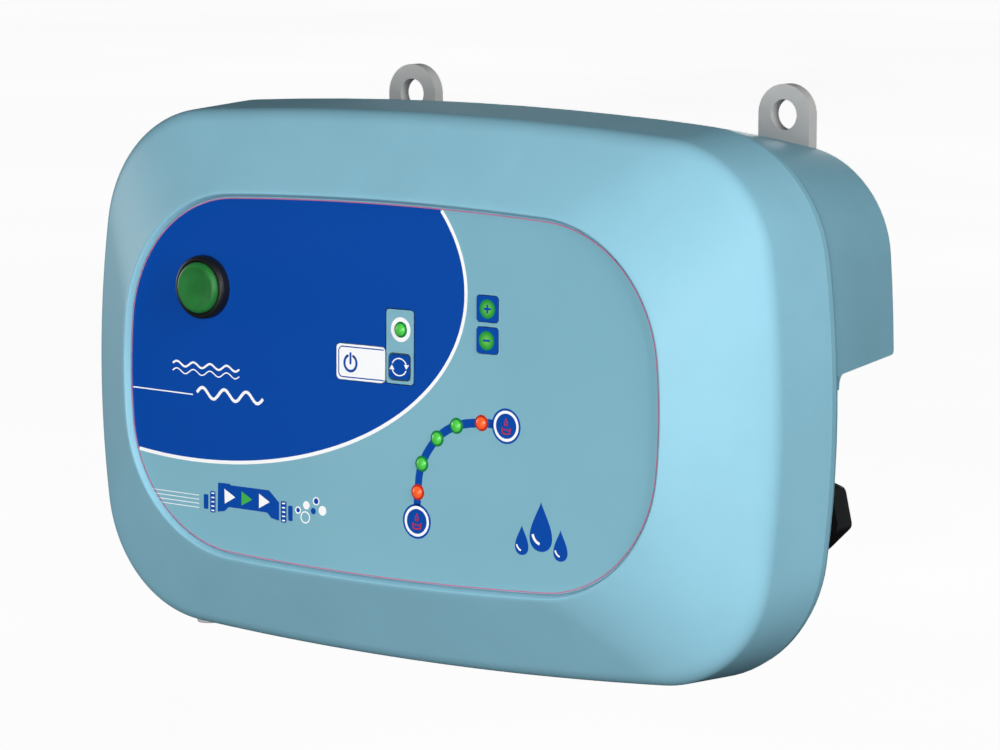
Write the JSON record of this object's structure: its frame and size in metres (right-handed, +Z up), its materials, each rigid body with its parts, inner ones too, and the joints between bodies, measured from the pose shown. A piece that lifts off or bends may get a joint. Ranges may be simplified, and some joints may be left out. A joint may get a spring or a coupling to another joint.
{
  "type": "salt chlorine generator",
  "caption": "Wall-mounted pool salt chlorinator control box with bevelled front, membrane keys, push switch, hanging ears and rear cable glands.",
  "frame": {"origin": "midway between the two hanging holes of the ears, on the wall plane at the back of the ears and housing", "axes": "+X to the right seen from the front, +Y into the wall, +Z up; the label faces -Y"},
  "size_m": [0.306, 0.134, 0.2081],
  "materials": {
    "case_blue": "satin moulded plastic",
    "label_print": "printed polyester film, satin",
    "key_white": "printed polyester film",
    "key_blue": "printed polyester film",
    "ear_grey": "moulded plastic",
    "sleeve_grey": "soft grey plastic",
    "black_plastic": "moulded plastic",
    "button_green": "translucent moulded plastic",
    "lens_green": "clear tinted resin",
    "lens_orange": "clear tinted resin",
    "seal_rubber": "matt",
    "steel": "zinc plated",
    "lamination": "varnished steel sheets",
    "copper": "enamelled wire",
    "board_green": "solder mask",
    "aluminium": "extruded",
    "component_black": "moulded",
    "nylon_white": "moulded",
    "terminal_green": "moulded",
    "lead_grey": "insulated wire",
    "glass": "clear"
  },
  "bodies": {
    "case": {"board_screws": "steel", "bridge_rectifier": "component_black", "capacitors": "component_black", "cell_terminals": "terminal_green", "control_label": "label_print", "cover_gasket": "seal_rubber", "cover_screws": "steel", "display_board": "board_green", "display_screws": "steel", "ear_screws": "steel", "front_cover": "case_blue", "fuse": "glass", "fuse_holder": "component_black", "gland_bodies": "black_plastic", "gland_dome_nuts": "black_plastic", "gland_locknuts": "black_plastic", "gland_seals": "seal_rubber", "green_leds": "lens_green", "heatsink": "aluminium", "heatsink_screws": "steel", "lead_connectors": "nylon_white", "lead_sleeve": "sleeve_grey", "left_wall_ear": "ear_grey", "main_board": "board_green", "mains_terminals": "terminal_green", "orange_leds": "lens_orange", "rear_housing": "case_blue", "rectifier_screw": "steel", "relays": "component_black", "ribbon_cable": "lead_grey", "ribbon_headers": "nylon_white", "right_wall_ear": "ear_grey", "switch_bezel": "black_plastic", "switch_leads": "lead_grey", "switch_nut": "black_plastic", "switch_terminals": "steel", "tact_switches": "component_black", "transformer_bobbin": "nylon_white", "transformer_brackets": "steel", "transformer_core": "lamination", "transformer_leads": "lead_grey", "transformer_screws": "steel", "transformer_winding": "copper"},
    "power_button": {"power_button": "button_green"},
    "power_key": {"power_key": "key_white"},
    "boost_key": {"boost_key": "key_blue"},
    "plus_key": {"plus_key": "key_blue"},
    "minus_key": {"minus_key": "key_blue"}
  },
  "joints": [
    {"name": "power_button_press", "type": "slide", "parent": "case", "child": "power_button", "axis": [0, 1, 0], "range_m": [0, 0.003], "stiffness_N_per_m": 900, "springref_m": -0.001},
    {"name": "power_key_press", "type": "slide", "parent": "case", "child": "power_key", "axis": [0, 1, 0], "range_m": [0, 0.0004], "stiffness_N_per_m": 4000, "springref_m": -0.0002},
    {"name": "boost_key_press", "type": "slide", "parent": "case", "child": "boost_key", "axis": [0, 1, 0], "range_m": [0, 0.0004], "stiffness_N_per_m": 4000, "springref_m": -0.0002},
    {"name": "plus_key_press", "type": "slide", "parent": "case", "child": "plus_key", "axis": [0, 1, 0], "range_m": [0, 0.0004], "stiffness_N_per_m": 4000, "springref_m": -0.0002},
    {"name": "minus_key_press", "type": "slide", "parent": "case", "child": "minus_key", "axis": [0, 1, 0], "range_m": [0, 0.0004], "stiffness_N_per_m": 4000, "springref_m": -0.0002}
  ]
}
